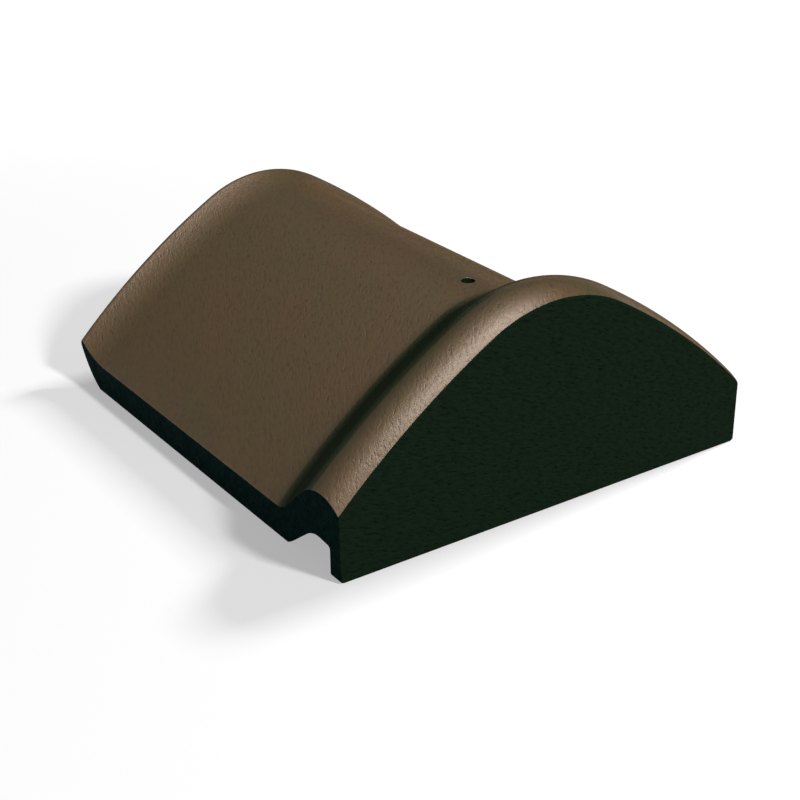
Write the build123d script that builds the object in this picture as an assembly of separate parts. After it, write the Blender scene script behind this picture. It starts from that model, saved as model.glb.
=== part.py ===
from build123d import *
import os
from math import acos, asin, cos, degrees, radians, sin, tan

# Ridge end tile, one piece of moulded concrete, all sizes in millimetres.
# X runs along the ridge, with the closed end at +X, and Z is up from the level the tile rests on.

# Overall size
width = 250
length = 279
side_height = 16

# Barrel: a tight crown arc between two long flank arcs, measured on the outer face
crown_radius = 65
crown_half_angle = 30
flank_radius = 410
wall = 13

# Flared open end, whose underside curves up to a thin lip
flare_run = 30
flare_rise = 6
lip_edge = 2.8
lip_round = 1.6
soffit_radius = 45

# Bead over the closed end: heights are square to the barrel, distances run back from the end face
bead_height = 17
bead_crest_back = 16
bead_crest_radius = 32
bead_front_slope = 27
bead_back_slope = 33.5
bead_foot_radius = 18
face_edge_round = 1.5

# Hollow under the bead
hollow_foot_back = 49.5
hollow_slope = 27.5
hollow_roof_drop = 0.4
hollow_roof_slope = 4
hollow_crest_radius = 22
hollow_foot_radius = 40
hollow_corner_round = 1.5

# End plate and its outer corners
plate_thickness = 9
plate_corner_round = 2

# Screw hole through the crown, behind the bead
hole_diameter = 7
hole_back = 72

# How far the swept flanks run on below the resting level before they are cut, in degrees
angle_to_spare = 1

# Places of the arcs, worked out from the width and the height of the cut sides
end_face_x = length / 2
flank_shift = flank_radius - crown_radius
flank_axis_y = -flank_shift * sin(radians(crown_half_angle))
side_angle = asin((width / 2 - flank_axis_y) / flank_radius)
flank_axis_z = side_height - flank_radius * cos(side_angle)
crown_axis_z = flank_axis_z + flank_shift * cos(radians(crown_half_angle))
flank_end_angle = degrees(acos(-flank_axis_z / (flank_radius + bead_height))) + angle_to_spare
crown_top = crown_axis_z + crown_radius


def rise(run, slope):
    return run * tan(radians(slope))


# Lengthwise section, x back from the end face and height square to the outer face of the barrel
front = radians(bead_front_slope)
back = radians(bead_back_slope)
crest_x = -bead_crest_back
crest_z = bead_height - bead_crest_radius
turn = sin(front + back)
bead_apex = (
    crest_x + bead_crest_radius * (cos(back) - cos(front)) / turn,
    crest_z + bead_crest_radius * (sin(front) + sin(back)) / turn,
)
face_top = (0, bead_apex[1] + rise(bead_apex[0], bead_front_slope))
bead_foot = (bead_apex[0] - bead_apex[1] / tan(back), 0)

flare_start = (flare_run - length, 0)
lip_top = (-length, flare_rise)
lip_bottom = (-length, flare_rise - lip_edge)
soffit_angle = acos(1 - (wall + lip_bottom[1]) / soffit_radius)
soffit_start = (soffit_radius * sin(soffit_angle) - length, -wall)

hollow_foot = (-hollow_foot_back, -wall)
roof_at_plate = (-plate_thickness, -hollow_roof_drop)
hollow_run = (
    wall - hollow_roof_drop + rise(hollow_foot_back - plate_thickness, hollow_roof_slope)
) / (tan(radians(hollow_slope)) + tan(radians(hollow_roof_slope)))
hollow_apex = (hollow_run - hollow_foot_back, rise(hollow_run, hollow_slope) - wall)

outline = Polyline((0, -wall), face_top, bead_apex, bead_foot, flare_start)
outline += TangentArc(flare_start, lip_top, tangent=(-1, 0))
outline += Line(lip_top, lip_bottom)
outline += TangentArc(soffit_start, lip_bottom, tangent=(-1, 0))
outline += Polyline(
    soffit_start, hollow_foot, hollow_apex, roof_at_plate, (-plate_thickness, -wall), (0, -wall)
)
section = make_face(outline)

corner_rounds = [
    (face_top, face_edge_round),
    (bead_apex, bead_crest_radius),
    (bead_foot, bead_foot_radius),
    (lip_top, lip_round),
    (hollow_foot, hollow_foot_radius),
    (hollow_apex, hollow_crest_radius),
    (roof_at_plate, hollow_corner_round),
]
for corner, radius in corner_rounds:
    section = fillet(section.vertices().sort_by_distance(corner)[0], radius)


def sweep_section(axis_y, axis_z, radius, start, sweep):
    """Carry the section round an axis along the ridge, from the start angle off upright."""
    axis = Axis((0, axis_y, axis_z), (-1, 0, 0))
    upright = Plane.XZ * section
    placed = Pos(end_face_x, axis_y, axis_z + radius) * upright
    return revolve(placed.rotate(axis, start), axis, sweep)


# Barrel with its flare and bead: crown, right flank and its mirror image
crown = sweep_section(0, crown_axis_z, crown_radius, -crown_half_angle, 2 * crown_half_angle)
flank = sweep_section(
    flank_axis_y,
    flank_axis_z,
    flank_radius,
    crown_half_angle,
    flank_end_angle - crown_half_angle,
)
barrel = crown + flank + mirror(flank, Plane.XZ)

# End plate closing the arch, its curved top buried in the middle of the wall
buried = wall / 2
flank_circle = Circle(flank_radius - buried)
arch = Pos(flank_axis_y, flank_axis_z) * flank_circle & Pos(-flank_axis_y, flank_axis_z) * flank_circle
arch = fillet(arch.vertices().sort_by(Axis.Y)[-1], crown_radius - buried)
plate = Pos(end_face_x) * extrude(Plane.YZ * arch, -plate_thickness)

# Cut sides and the level underneath
envelope = Box(length, width, 2 * crown_top, align=(Align.CENTER, Align.CENTER, Align.MIN))
tile = (barrel + plate) & envelope
lowest_edges = tile.edges().filter_by(Axis.X).group_by(Axis.Z)[0]
plate_corners = lowest_edges.filter_by_position(Axis.X, end_face_x - plate_thickness, end_face_x)
tile = fillet(plate_corners, plate_corner_round)

# Screw hole, straight down through the crown
drill = Cylinder(hole_diameter / 2, crown_top + wall, align=(Align.CENTER, Align.CENTER, Align.MIN))
tile -= Pos(end_face_x - hole_back, 0) * drill

os.makedirs("parts", exist_ok=True)
export_step(tile, "parts/ridge_end_tile.step")
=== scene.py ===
from math import acos, asin, cos, pi, radians, sin, sqrt, tan

import bmesh
import bpy
import numpy as np
from mathutils import Matrix, Vector


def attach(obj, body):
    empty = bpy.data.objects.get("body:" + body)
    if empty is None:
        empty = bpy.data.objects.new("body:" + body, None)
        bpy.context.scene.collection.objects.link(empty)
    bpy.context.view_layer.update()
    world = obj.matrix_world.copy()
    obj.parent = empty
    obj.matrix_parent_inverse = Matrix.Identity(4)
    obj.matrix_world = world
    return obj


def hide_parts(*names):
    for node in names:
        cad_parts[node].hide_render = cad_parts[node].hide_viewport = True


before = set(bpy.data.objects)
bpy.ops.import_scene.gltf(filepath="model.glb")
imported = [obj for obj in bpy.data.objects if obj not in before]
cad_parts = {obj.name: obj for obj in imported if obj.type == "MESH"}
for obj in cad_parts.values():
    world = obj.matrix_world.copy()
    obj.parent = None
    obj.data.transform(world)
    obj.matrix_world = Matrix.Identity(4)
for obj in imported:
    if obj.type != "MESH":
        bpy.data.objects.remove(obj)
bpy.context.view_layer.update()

# Camera: the tile is seen from its closed end and right side, from a little above, through a
# long lens. The place, the angles and the lens are those solved from the tile's straight edges.
eye_place = (0.66318, -0.45003, 0.38916)
heading, look_down, roll = 55.598, 25.653, -0.4647
eye = bpy.data.objects.new("camera", bpy.data.cameras.new("camera"))
eye.data.lens = 71.294
eye.data.clip_end = 200
turned = Matrix.Rotation(radians(heading), 4, "Z")
tipped = Matrix.Rotation(radians(90 - look_down), 4, "X")
rolled = Matrix.Rotation(radians(roll), 4, "Z")
eye.matrix_world = Matrix.Translation(eye_place) @ turned @ tipped @ rolled
bpy.context.scene.collection.objects.link(eye)
bpy.context.scene.camera = eye

# Tile body: one casting of fine-grained concrete, pressed in a mould and sprayed with a brown coat.
# It is an arched barrel with a flared open end, a raised bead over the closed end and an end plate.
# Millimetres here, metres in the mesh: x runs back from the end face, h is square to the barrel.
half_width = 125
length = 279
side_height = 16
crown_radius = 65
crown_half_angle = radians(30)
flank_radius = 410
wall = 13
flare_run = 30
flare_rise = 6
lip_edge = 2.8
lip_round = 1.6
soffit_radius = 45
bead_height = 17
bead_crest_back = 16
bead_crest_radius = 32
bead_front_slope = radians(27)
bead_back_slope = radians(33.5)
bead_foot_radius = 18
face_edge_round = 1.5
hollow_foot_back = 49.5
hollow_slope = radians(27.5)
hollow_roof_drop = 0.4
hollow_roof_slope = radians(4)
hollow_crest_radius = 22
hollow_foot_radius = 40
hollow_corner_round = 1.5
plate_thickness = 9
plate_corner_round = 2
hole_radius = 3.5
hole_back = 72
worn_width = 0.5

# Largest gaps between the rows of points: in the arcs, along the section and on the plain barrel
arc_gap, row_gap, plain_gap = 1.1, 3, 4
fewest_in_arc = 5
flare_parts, lip_parts, soffit_parts = 26, 7, 24
crown_parts, flank_parts = 12, 36
to_metres = 0.001

# Square field round the hole, left open in the barrel's grid: its half length along the ridge, its
# half width as a share of the crown arc's half, and the parts of one of its sides
hole_field = 6.8
field_turn = 0.2
field_parts = 8

end_face_x = length / 2
flank_shift = flank_radius - crown_radius
flank_axis_y = flank_shift * sin(crown_half_angle)
flank_axis_z = side_height - sqrt(flank_radius**2 - (half_width + flank_axis_y) ** 2)
crown_axis_z = flank_axis_z + flank_shift * cos(crown_half_angle)


def rounded(points, radii, gap):
    """Straight lines through the points with their corners rounded: each corner gives way to an arc
    that starts and stops at radius / tan(half the corner's angle) along its two lines."""
    points = np.array(points, float)
    run = [points[:1]]
    for before, corner, after, radius in zip(points, points[1:], points[2:], radii):
        to_before, to_after = before - corner, after - corner
        to_before /= np.linalg.norm(to_before)
        to_after /= np.linalg.norm(to_after)
        half = acos(np.clip(to_before @ to_after, -1, 1)) / 2
        middle = to_before + to_after
        centre = corner + middle / np.linalg.norm(middle) * radius / sin(half)
        start, stop = (corner + way * radius / tan(half) - centre for way in (to_before, to_after))
        swing = pi - 2 * half
        parts = max(fewest_in_arc, int(radius * swing / gap))
        share = np.linspace(0, 1, parts + 1)[:, None] * swing
        arc = (start * np.sin(swing - share) + stop * np.sin(share)) / sin(swing)
        run.append(centre + arc)
    run.append(points[-1:])
    return np.concatenate(run)


def round_arc(centre, radius, start, stop, parts):
    """Points on a circle, at angles from start to stop measured from straight down towards -x."""
    angle = np.linspace(start, stop, parts + 1)
    return np.stack([centre[0] - radius * np.sin(angle), centre[1] - radius * np.cos(angle)], 1)


def filled(run, gap):
    """The same run of points with every stretch longer than the gap divided into equal parts."""
    parts = []
    for here, there in zip(run, run[1:]):
        count = max(1, int(np.ceil(np.linalg.norm(there - here) / gap)))
        parts.append(here + (there - here) * np.arange(count)[:, None] / count)
    return np.concatenate(parts + [run[-1:]])


# Outer line of the section: end face edge, bead, barrel, and the flare, a circle up to the lip
crest = np.array((-bead_crest_back, bead_height - bead_crest_radius))
opening = sin(bead_front_slope + bead_back_slope)
bead_apex = crest + bead_crest_radius / opening * np.array(
    (cos(bead_back_slope) - cos(bead_front_slope), sin(bead_front_slope) + sin(bead_back_slope))
)
face_top = (0, bead_apex[1] + bead_apex[0] * tan(bead_front_slope))
bead_foot = (bead_apex[0] - bead_apex[1] / tan(bead_back_slope), 0)
flare_radius = (flare_run**2 + flare_rise**2) / 2 / flare_rise
flare_centre = np.array((flare_run - length, flare_radius))
hole_near, hole_far = hole_field - hole_back, -hole_field - hole_back
barrel_line = rounded(
    [(0, 0), face_top, bead_apex, bead_foot, (hole_near, 0)],
    [face_edge_round, bead_crest_radius, bead_foot_radius],
    arc_gap,
)[1:]
hole_line = np.linspace((hole_near, 0), (hole_far, 0), field_parts + 1)
lip_centre = np.array((lip_round - length, 0.0))
lip_centre[1] = flare_radius - sqrt(
    (flare_radius + lip_round) ** 2 - (lip_centre[0] - flare_centre[0]) ** 2
)
flare_angle = asin((flare_centre[0] - lip_centre[0]) / (flare_radius + lip_round))
flare_line = round_arc(flare_centre, flare_radius, 0, flare_angle, flare_parts)
lip_turn = np.linspace(0, pi / 2 - flare_angle, lip_parts + 1)[1:] + flare_angle
lip_line = lip_centre + lip_round * np.stack([np.sin(lip_turn - pi), np.cos(lip_turn)], 1)
lip_foot = np.array([(-length, flare_rise - lip_edge)])
outer_line = np.concatenate(
    [
        filled(barrel_line, row_gap),
        hole_line[1:],
        filled(np.array([(hole_far, 0), flare_line[0]]), plain_gap)[1:],
        flare_line[1:],
        lip_line,
        lip_foot,
    ]
)

# Inner line of the section: soffit of the lip, flat underside, and the hollow under the bead
soffit_angle = acos(1 - (wall + lip_foot[0, 1]) / soffit_radius)
soffit_centre = (soffit_radius * sin(soffit_angle) - length, soffit_radius - wall)
soffit_line = round_arc(soffit_centre, soffit_radius, soffit_angle, 0, soffit_parts)
hollow_run = (
    wall - hollow_roof_drop + (hollow_foot_back - plate_thickness) * tan(hollow_roof_slope)
) / (tan(hollow_slope) + tan(hollow_roof_slope))
hollow_line = rounded(
    [
        (hole_near, -wall),
        (-hollow_foot_back, -wall),
        (hollow_run - hollow_foot_back, hollow_run * tan(hollow_slope) - wall),
        (-plate_thickness, -hollow_roof_drop),
        (-plate_thickness, -wall),
    ],
    [hollow_foot_radius, hollow_crest_radius, hollow_corner_round],
    arc_gap,
)[:-1]
inner_line = np.concatenate(
    [
        soffit_line[1:],
        filled(np.array([soffit_line[-1], (hole_far, -wall)]), plain_gap)[1:],
        hole_line[-2::-1] - (0, wall),
        filled(hollow_line, row_gap)[1:],
    ]
)
section = np.concatenate([outer_line, inner_line])
coated_rows = len(outer_line) - 1

# Where the cut side changes over to the flat seat, the section gets a point of its own
seat_height = sqrt((half_width + flank_axis_y) ** 2 + flank_axis_z**2) - flank_radius
above = section[:, 1] > seat_height
for row in np.flatnonzero(above[1:] != above[:-1])[::-1]:
    here, there = section[row], section[row + 1]
    share = (seat_height - here[1]) / (there[1] - here[1])
    section = np.insert(section, row + 1, here + share * (there - here), axis=0)

# Places of the columns round the arch, as turns for on_arch
beside_field = np.linspace(-1, -field_turn, crown_parts + 1)[:-1]
over_field = np.linspace(-field_turn, field_turn, field_parts + 1)
flank_steps = np.linspace(1, 2, flank_parts + 1)[1:]
around = np.concatenate(
    [-flank_steps[::-1], beside_field, over_field, -beside_field[::-1], flank_steps]
)


def on_arch(back, height, turn):
    """A point of the barrel: turn -1 to 1 goes round the crown arc, and from 1 to 2 down the flank
    arc to the cut side or the level underneath, whichever it meets first, both at their radius
    plus the height."""
    back, height, turn = np.broadcast_arrays(back, height, turn)
    reach = flank_radius + height
    last = np.minimum(
        np.arcsin((half_width + flank_axis_y) / reach), np.arccos(-flank_axis_z / reach)
    )
    down = np.clip(np.abs(turn) - 1, 0, 1)
    angle = crown_half_angle * np.clip(np.abs(turn), 0, 1) + down * (last - crown_half_angle)
    flank = down > 0
    radius = np.where(flank, reach, crown_radius + height)
    y = np.where(flank, -flank_axis_y, 0) + radius * np.sin(angle)
    z = np.where(flank, flank_axis_z, crown_axis_z) + radius * np.cos(angle)
    return np.stack([end_face_x + back, np.sign(turn) * y, np.maximum(z, 0)], -1)


def between(one, other, parts):
    """Rows of points in equal steps from one line of points to the other, both included."""
    share = np.linspace(0, 1, parts + 1)[:, None, None]
    return one + (other - one) * share


shell = on_arch(section[:, :1], section[:, 1:], around)

# Lower edge of the end plate: straight across, turning up at both ends by its corner radius
corner = np.linspace(0, pi / 2, 4)
foot_y = half_width - plate_corner_round * (1 - np.sin(corner))
foot_z = plate_corner_round * (1 - np.cos(corner))
straight = len(around) - 2 * len(corner)
inner_y = np.linspace(-foot_y[0], foot_y[0], straight + 2)[1:-1]
foot = np.zeros((len(around), 3))
foot[:, 0] = end_face_x
foot[:, 1] = np.concatenate([-foot_y[::-1], inner_y, foot_y])
foot[:, 2] = np.concatenate([foot_z[::-1], np.zeros(straight), foot_z])
foot_back = foot - (plate_thickness, 0, 0)
end_face = between(shell[0], foot, parts=24)
plate_back = between(foot_back, shell[-1], parts=20)
plate_foot = between(foot, foot_back, parts=4)

# Seats: flat strips between the foot of the underside and the cut sides. Heights that differ by
# less than a hair count as the same.
hair = 1e-9
seat_rows = np.flatnonzero(section[:, 1] <= seat_height + hair)
seats = []
for edge, way in ((0, -1), (-1, 1)):
    inner_edge = shell[seat_rows, edge]
    outer_edge = inner_edge.copy()
    outer_edge[:, 1] = way * half_width
    outer_edge[:, 2] = 0
    seats.append(between(inner_edge, outer_edge, parts=1))


def cut_side(edge, way):
    """Outline of a cut side in its own plane: along the section's edge, where it meets the seat
    along the level underneath, and round the end plate."""
    rim = shell[:, edge].copy()
    rim[seat_rows, 2] = 0
    rim[:, 1] = way * half_width
    return np.concatenate(
        [rim, plate_back[-2::-1, edge], plate_foot[-2::-1, edge], end_face[-2:0:-1, edge]]
    )


def hole_collar(height):
    """Rings from the drilled circle out to the square field, each lifted on to the crown arc. Eight
    whole steps go round the square, two to a side, and a side runs from -1 to 1."""
    steps = np.arange(0, 8, 2 / field_parts)
    turn = 2 * pi * steps / 8
    along = np.clip(np.abs(steps - 4) - 2, -1, 1)
    across = np.clip(np.abs((steps - 2) % 8 - 4) - 2, -1, 1)
    radius = crown_radius + height
    square = np.stack(
        [hole_field * along, radius * np.sin(crown_half_angle * field_turn * across)], 1
    )
    circle = hole_radius * np.stack([np.cos(turn), np.sin(turn)], 1)
    flat = between(circle, square, parts=3)
    flat = np.concatenate([flat, flat[:, :1]], 1)
    z = crown_axis_z + np.sqrt(radius**2 - flat[..., 1] ** 2)
    return np.stack([end_face_x - hole_back + flat[..., 0], flat[..., 1], z], -1)


collar_top, collar_under = hole_collar(0), hole_collar(-wall)
hole_wall = between(collar_top[0], collar_under[0], parts=5)

# The five finishes of the faces, numbered as the tile's materials are added further down
coated, moulded, underneath, in_fold, cut = range(5)
corners, faces, finish = [], [], []
placed = 0


def lay(grid, kind, gap=None):
    """Adds a grid of points and the four-sided faces between its rows and columns, with a kind of
    finish for each face, apart from the faces in the gap."""
    global placed
    rows, columns = grid.shape[:2]
    index = placed + np.arange(rows * columns).reshape(rows, columns)
    quads = np.stack([index[:-1, :-1], index[1:, :-1], index[1:, 1:], index[:-1, 1:]], -1)
    keep = np.ones((rows - 1, columns - 1), bool)
    if gap is not None:
        keep &= ~gap
    kind = np.broadcast_to(kind, keep.shape)
    corners.append(grid.reshape(-1, 3))
    faces.extend(quads[keep].tolist())
    finish.extend(kind[keep].tolist())
    placed += rows * columns


# Which finish each row of faces has, and which faces the field round the hole takes away. The fold
# and the edge of the coat are placed by their distance along the ridge from the end face.
fold_from, fold_to = -56, -23.5
coat_edge = -1
middle_back = (section[1:, 0] + section[:-1, 0]) / 2
middle_turn = (around[1:] + around[:-1]) / 2
field = (np.abs(middle_back + hole_back) < hole_field)[:, None]
field = field & (np.abs(middle_turn) < field_turn)
field[np.abs(np.diff(section[:, 1])) > hair] = False
row = np.arange(len(section) - 1)
outside = row < coated_rows
kind_of_row = np.where(outside, coated, np.where(row == coated_rows, moulded, underneath))
# Rows in the fold take the coat with its painted shade, and rows past the coat's edge take the
# near-black painted shade of the moulded faces.
kind_of_row[outside & (middle_back > fold_from) & (middle_back < fold_to)] = in_fold
kind_of_row[outside & (middle_back > coat_edge)] = moulded
lay(shell, kind_of_row[:, None], field)
# The end face takes the near-black painted shade of the moulded faces.
lay(end_face, moulded)
lay(plate_back, underneath)
lay(plate_foot, moulded)
for seat in seats:
    lay(seat, moulded)
lay(collar_top, coated)
lay(collar_under, underneath)
# The wall of the hole takes the same near-black painted shade.
lay(hole_wall, moulded)
# Each cut side takes its own near-black painted shade.
for edge, way in ((0, -1), (-1, 1)):
    outline = cut_side(edge, way)
    corners.append(outline)
    faces.append(list(range(placed, placed + len(outline))))
    finish.append(cut)
    placed += len(outline)

mesh = bpy.data.meshes.new("tile_body")
mesh.from_pydata((np.concatenate(corners) * to_metres).tolist(), [], faces)
mesh.polygons.foreach_set("material_index", finish)
weld_gap = 5e-6
welded = bmesh.new()
welded.from_mesh(mesh)
bmesh.ops.remove_doubles(welded, verts=welded.verts, dist=weld_gap)
bmesh.ops.dissolve_degenerate(welded, edges=welded.edges, dist=weld_gap)
bmesh.ops.recalc_face_normals(welded, faces=welded.faces)

# Every sharp edge is worn, apart from the long edges of the seats, which lie on the rest level
sharp = radians(28)
rest_level = 1e-6
plate_from = (end_face_x - plate_thickness - worn_width) * to_metres
worn = welded.edges.layers.float.new("bevel_weight_edge")
for edge in welded.edges:
    on_seat = all(v.co.z < rest_level and v.co.x < plate_from for v in edge.verts)
    if edge.calc_face_angle() > sharp and not on_seat:
        edge[worn] = 1
welded.to_mesh(mesh)
welded.free()
mesh.shade_smooth()

tile = bpy.data.objects.new("tile_body", mesh)
bpy.context.scene.collection.objects.link(tile)
arris = tile.modifiers.new("worn arris", "BEVEL")
arris.width = worn_width * to_metres
arris.segments = 2
arris.limit_method = "WEIGHT"
arris.use_clamp_overlap = False
arris.harden_normals = True

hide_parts("ridge_end_tile")
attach(tile, "root")

# Brown coat: a thin resin coat sprayed on the still damp concrete, laid here on the barrel, the
# bead and the flare. It keeps the pebbled grain of the concrete and has a low sheen.
coat_olive = (0.071, 0.057, 0.0105, 1)
coat_red = (0.085, 0.053, 0.0125, 1)
# Near-black green: painted shade in the fold behind the bead.
coat_in_painted_shade = (0.011, 0.032, 0.014, 1)
coat_gloss_tint = (1, 0.5, 0.37, 1)
coat_turn = (0, radians(64.5), radians(151.4))
black = (0, 0, 0, 1)

# The painted shade of the fold, in metres from the middle of the tile: along the ridge it comes in
# before the foot of the bead and goes out on the way up to its crest, and across it comes in beside
# the crown line
painted_shade_comes_in = (0.0785, 0.0895)
painted_shade_goes_out = (0.1095, 0.1265)
painted_shade_beside_crown = (0.0, 0.028)


def place(tree, kind, sockets, **settings):
    """Puts one node into the tree. A socket of another node is linked, any other value is set."""
    one = tree.nodes.new("ShaderNode" + kind)
    for name, value in settings.items():
        setattr(one, name, value)
    for name, value in sockets.items():
        if isinstance(value, bpy.types.NodeSocket):
            tree.links.new(value, one.inputs[name])
        else:
            one.inputs[name].default_value = value
    return one


def blend_colours(tree, share, one, other):
    """Mixes two colours by a share from 0 to 1. A Mix node's colour sockets are 6 and 7, and 2 is
    what comes out of them."""
    mixed = place(tree, "Mix", {"Factor": share, 6: one, 7: other}, data_type="RGBA")
    return mixed.outputs[2]


def reckon(tree, operation, one, other, third=0.0):
    """A Math node on two values, or on three."""
    return place(tree, "Math", {0: one, 1: other, 2: third}, operation=operation).outputs[0]


def ramp(tree, value, low, high, to_low=0.0, to_high=1.0):
    """Turns a value between low and high into a smooth share between to_low and to_high."""
    sockets = {"Value": value, "From Min": low, "From Max": high}
    sockets |= {"To Min": to_low, "To Max": to_high}
    return place(tree, "MapRange", sockets, interpolation_type="SMOOTHSTEP").outputs["Result"]


# Concrete grain, used by all the finishes: lumps of a millimetre or two, small dents scattered
# among them, pinholes some centimetres apart, and cloudy patches about twenty lumps wide.
dents_per_lump, pinholes_per_lump, patches_per_lump = 1.15, 0.15, 0.05
dent_depth, dent_shade = 0.42, 0.3
grain = bpy.data.node_groups.new("concrete grain", "ShaderNodeTree")
grain.interface.new_socket("Place", in_out="INPUT", socket_type="NodeSocketVector")
grain.interface.new_socket("Lumps", in_out="INPUT", socket_type="NodeSocketFloat")
for name in ("Height", "Tone", "Mottle"):
    grain.interface.new_socket(name, in_out="OUTPUT", socket_type="NodeSocketFloat")
given = grain.nodes.new("NodeGroupInput").outputs
spot = {"Vector": given["Place"], "Scale": given["Lumps"]}
lump = place(grain, "TexNoise", spot | {"Detail": 2.0, "Roughness": 0.6}).outputs[0]
finer = reckon(grain, "MULTIPLY", given["Lumps"], dents_per_lump)
dent = place(grain, "TexNoise", spot | {"Scale": finer, "Detail": 1.0}).outputs[0]
dent = ramp(grain, dent, 0.54, 0.76)
fewer = reckon(grain, "MULTIPLY", given["Lumps"], pinholes_per_lump)
pore = place(grain, "TexVoronoi", spot | {"Scale": fewer}).outputs["Distance"]
pit = ramp(grain, pore, 0.03, 0.08, 1.0, 0.0)
hollow = reckon(grain, "MAXIMUM", dent, pit)
patch = {"Scale": reckon(grain, "MULTIPLY", given["Lumps"], patches_per_lump)}
cloud = place(grain, "TexNoise", spot | patch | {"Detail": 4.0, "Roughness": 0.6}).outputs[0]
height = reckon(grain, "MULTIPLY_ADD", hollow, -dent_depth, lump)
tone = reckon(grain, "MULTIPLY_ADD", hollow, -dent_shade, lump)
result = grain.nodes.new("NodeGroupOutput")
for name, value in (("Height", height), ("Tone", tone), ("Mottle", cloud)):
    grain.links.new(value, result.inputs[name])


def concrete_finish(name, turn, stretch, lumps):
    """A new material of the tile with the grain laid on its object coordinates, drawn out by three
    factors along axes turned by three angles, with so many lumps to the metre. Gives back its node
    tree, its shader, the grain's outputs and the object coordinates."""
    finish = bpy.data.materials.new(name)
    finish.use_nodes = True
    mesh.materials.append(finish)
    tree = finish.node_tree
    where = place(tree, "TexCoord", {}).outputs["Object"]
    laid = {"Vector": where, "Rotation": turn, "Scale": stretch}
    laid = place(tree, "Mapping", laid, vector_type="TEXTURE").outputs[0]
    grains = place(tree, "Group", {}, node_tree=grain)
    tree.links.new(laid, grains.inputs["Place"])
    grains.inputs["Lumps"].default_value = lumps
    return tree, tree.nodes["Principled BSDF"], grains.outputs, where


def raise_grain(tree, shader, grains, strength, depth):
    """Bumps the shader's normal by the height of the grain, and gives back the bumped normal."""
    sockets = {"Strength": strength, "Distance": depth, "Height": grains["Height"]}
    relief = place(tree, "Bump", sockets).outputs[0]
    tree.links.new(relief, shader.inputs["Normal"])
    return relief


def coat_finish(name, olive, red, specular):
    """The coat in two browns, with painted shade in the fold behind the bead. Its sheen is a clear
    top layer, left out in the fold and at low angles, where the rough sides of the pebbles hide
    their tops."""
    tree, shader, grains, where = concrete_finish(name, coat_turn, (1, 1, 2), 560)
    browns = blend_colours(tree, ramp(tree, grains["Mottle"], 0.35, 0.65), olive, red)
    speckle = ramp(tree, grains["Tone"], 0.15, 0.6, 0.45, 1.0)
    speckled = blend_colours(tree, speckle, black, browns)
    along, across = place(tree, "SeparateXYZ", {0: where}).outputs[:2]
    # Painted shade of the fold: near-black green laid over the browns behind the bead, fading out
    # beside the crown.
    up_the_bead = ramp(tree, along, *painted_shade_goes_out, 1.0, 0.0)
    fold = reckon(tree, "MULTIPLY", up_the_bead, ramp(tree, along, *painted_shade_comes_in))
    aside = reckon(tree, "ABSOLUTE", across, 0.0)
    fold = reckon(tree, "MULTIPLY", fold, ramp(tree, aside, *painted_shade_beside_crown))
    tree.links.new(blend_colours(tree, fold, speckled, coat_in_painted_shade), shader.inputs["Base Color"])
    low_view = place(tree, "LayerWeight", {"Blend": 0.5}).outputs["Facing"]
    low_view = ramp(tree, low_view, 0.62, 0.86, 0.0, 0.95)
    dull = ramp(tree, grains["Tone"], 0.3, 0.7, 0.56, 0.48)
    dull = reckon(tree, "MULTIPLY_ADD", low_view, 0.45, dull)
    tree.links.new(dull, shader.inputs["Roughness"])
    clear = reckon(tree, "SUBTRACT", 1.0, reckon(tree, "MAXIMUM", fold, low_view))
    tree.links.new(clear, shader.inputs["Coat Weight"])
    shader.inputs["Coat Roughness"].default_value = 0.42
    shader.inputs["Coat IOR"].default_value = 1.63
    shader.inputs["Specular IOR Level"].default_value = specular
    shader.inputs["Specular Tint"].default_value = coat_gloss_tint
    relief = raise_grain(tree, shader, grains, 0.28, 0.0006)
    tree.links.new(relief, shader.inputs["Coat Normal"])


coat_finish("brown_coat", coat_olive, coat_red, 1.0)

# Moulded faces: the end face, the rim, the seats and the wall of the hole take no brown coat. They
# are matt with a level leathery ripple, and their near-black green colour is painted shade.
painted_face_shade_dark = (0.0028, 0.0074, 0.0033, 1)
painted_face_shade_pale = (0.0052, 0.0118, 0.0058, 1)


def bare_finish(laid, tones, rough, specular, strength, depth):
    """Bare concrete. Laid is what concrete_finish takes. Tones are the range of the grain's tone
    and the two colours it runs between, and rough names the grain's output for the roughness and
    the two it runs between."""
    tree, shader, grains, where = concrete_finish(*laid)
    low, high, dark, pale = tones
    colour = blend_colours(tree, ramp(tree, grains["Tone"], low, high), dark, pale)
    tree.links.new(colour, shader.inputs["Base Color"])
    by, to_low, to_high = rough
    dull = ramp(tree, grains[by], 0.3, 0.7, to_low, to_high)
    tree.links.new(dull, shader.inputs["Roughness"])
    shader.inputs["Specular IOR Level"].default_value = specular
    raise_grain(tree, shader, grains, strength, depth)


bare_finish(
    ("faces_in_painted_shade", (radians(-17), 0, 0), (1, 2.6, 1), 560),
    (0.0, 0.6, painted_face_shade_dark, painted_face_shade_pale),
    ("Tone", 0.85, 0.7),
    specular=0.03,
    strength=0.85,
    depth=0.001,
)

# Underside: pressed on a rough former and left bare, so that it is drier and more open grained.
under_dark = (0.034, 0.038, 0.028, 1)
under_pale = (0.066, 0.07, 0.052, 1)
bare_finish(
    ("bare_underside", (0, 0, 0), (1, 1, 1), 330),
    (0.2, 0.8, under_dark, under_pale),
    ("Mottle", 0.95, 0.8),
    specular=0.1,
    strength=0.8,
    depth=0.0012,
)

# Coat in the fold: less shine and the browns a little paler, under the painted shade of the fold.
fold_olive = (0.094, 0.07, 0.017, 1)
fold_red = (0.106, 0.067, 0.0195, 1)
coat_finish("coat_in_painted_shade", fold_olive, fold_red, 0.08)

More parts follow.
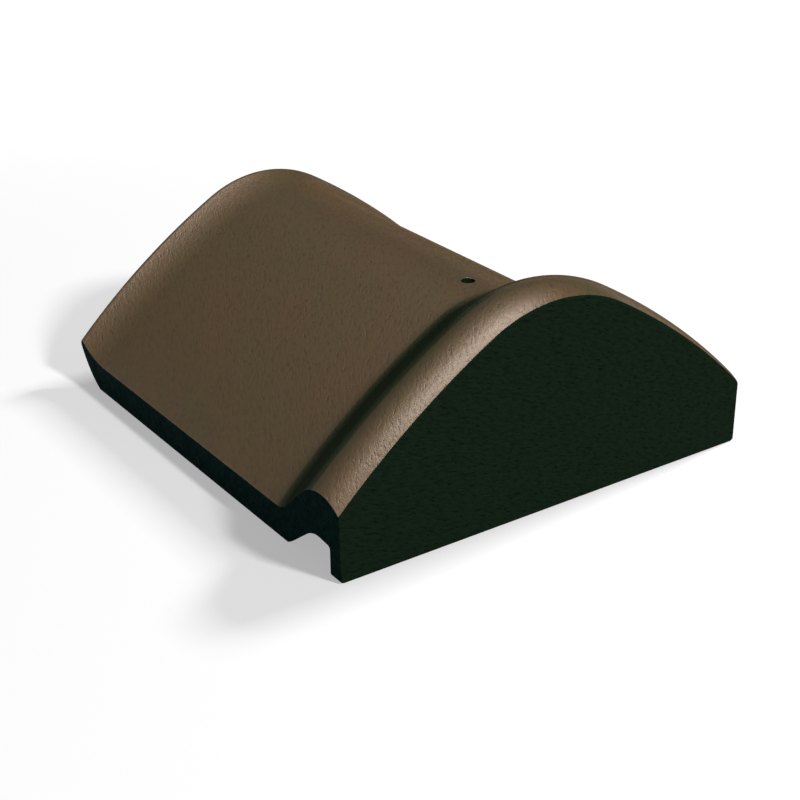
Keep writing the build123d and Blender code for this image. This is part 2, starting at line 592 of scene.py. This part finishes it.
# Cut sides: trimmed smooth while the concrete is wet, so that their grain is closer. Their
# near-black blue-green colour is painted shade.
painted_side_shade_dark = (0.0001, 0.011, 0.01, 1)
painted_side_shade_pale = (0.0001, 0.017, 0.015, 1)
bare_finish(
    ("cut_side", (0, 0, 0), (1, 1, 1), 420),
    (0.2, 0.8, painted_side_shade_dark, painted_side_shade_pale),
    ("Tone", 0.85, 0.7),
    specular=0.03,
    strength=0.25,
    depth=0.001,
)

# Studio floor: a pale level sheet that runs on to the horizon. The camera and reflections see it
# near white and keep the tile's shadow on it, while little light comes back from it to the tile.
floor_radius, floor_corners = 60, 64
sheet_grey = (0.51, 0.51, 0.51, 1)
dull_grey = (0.08, 0.08, 0.08, 1)
near, far = 0.3, 2.0
near_glow, far_glow = 0.4, 1.0
floor_mesh = bpy.data.meshes.new("studio_floor")
rim = 2 * pi * np.arange(floor_corners) / floor_corners
ring = floor_radius * np.stack([np.cos(rim), np.sin(rim), np.zeros(floor_corners)], 1)
floor_mesh.from_pydata(ring.tolist(), [], [list(range(floor_corners))])
floor = bpy.data.objects.new("studio_floor", floor_mesh)
bpy.context.scene.collection.objects.link(floor)
pale = bpy.data.materials.new("studio_floor")
floor_mesh.materials.append(pale)
pale.use_nodes = True
tree = pale.node_tree
tree.nodes.clear()


def seen_directly(tree, path):
    """1 for the rays of the camera, of reflections and of things seen through, and 0 for others."""
    either = reckon(tree, "MAXIMUM", path["Is Camera Ray"], path["Is Glossy Ray"])
    return reckon(tree, "MAXIMUM", either, path["Is Transmission Ray"])


where = place(tree, "TexCoord", {}).outputs["Object"]
away = place(tree, "VectorMath", {0: where}, operation="LENGTH").outputs["Value"]
glow = {"Strength": ramp(tree, away, near, far, near_glow, far_glow)}
glow = place(tree, "Emission", glow).outputs[0]
sheet = place(tree, "BsdfDiffuse", {"Color": sheet_grey}).outputs[0]
lit = place(tree, "AddShader", {0: glow, 1: sheet}).outputs[0]
dull = place(tree, "BsdfDiffuse", {"Color": dull_grey}).outputs[0]
share = seen_directly(tree, place(tree, "LightPath", {}).outputs)
shown = place(tree, "MixShader", {0: share, 1: dull, 2: lit}).outputs[0]
place(tree, "OutputMaterial", {"Surface": shown})

# Studio lamps: a soft key lamp before the closed end gives the matt light, and a long strip
# overhead and a weak panel in front give the sheen. These light only the tile. Two smaller lamps
# light only the floor and throw its soft shadow.
tile_middle = Vector((0, 0, 0.05))


def soft_lamp(name, azimuth, elevation, distance, width, height, level, lit):
    """A lamp aimed at the middle of the tile that lights one object only. Azimuth and elevation are
    in degrees, and distance, width and height in metres. Its power is level times pi squared times
    the square of its distance, which lights a white sheet held square to it at that share of
    white."""
    lamp = bpy.data.lights.new(name, "AREA")
    lamp.shape = "RECTANGLE"
    lamp.size, lamp.size_y = width, height
    lamp.energy = level * pi**2 * distance**2
    holder = bpy.data.objects.new(name, lamp)
    round_by, up_by = radians(azimuth), radians(elevation)
    way = Vector((cos(round_by) * cos(up_by), sin(round_by) * cos(up_by), sin(up_by)))
    turn = way.to_track_quat("Z", "Y").to_matrix().to_4x4()
    holder.matrix_world = Matrix.Translation(way * distance + tile_middle) @ turn
    bpy.context.scene.collection.objects.link(holder)
    receivers = bpy.data.collections.new("lit by the " + name)
    receivers.objects.link(lit)
    holder.light_linking.receiver_collection = receivers
    return holder


soft_lamp("front_lamp", 0, 38, 5, 3, 2, 1.32, tile).visible_glossy = False
soft_lamp("front_panel", 0, 40, 5, 3, 3, 0.42, tile).visible_diffuse = False
soft_lamp("overhead_strip", 268, 81, 4.5, 1.2, 4.8, 0.87, tile).visible_diffuse = False
soft_lamp("end_side_lamp", 22, 37, 5, 0.6, 0.6, 0.93, floor)
soft_lamp("far_side_lamp", 92.5, 35.5, 5, 0.6, 0.6, 0.98, floor)

# Room light: the world is white where the camera sees it, and dim in its light and its reflections
# on the tile, since a white room would lay a milky film over the coat.
seen_level, room_level = 1.0, 0.08
world = bpy.data.worlds.new("world")
bpy.context.scene.world = world
world.use_nodes = True
tree = world.node_tree
tree.nodes.clear()
path = place(tree, "LightPath", {}).outputs
seen = reckon(tree, "MAXIMUM", path["Is Camera Ray"], path["Is Transmission Ray"])
bright = reckon(tree, "MULTIPLY_ADD", seen, seen_level - room_level, room_level)
room = place(tree, "Background", {"Color": (1, 1, 1, 1), "Strength": bright}).outputs[0]
place(tree, "OutputWorld", {"Surface": room})

bpy.context.scene.view_settings.view_transform = "Standard"
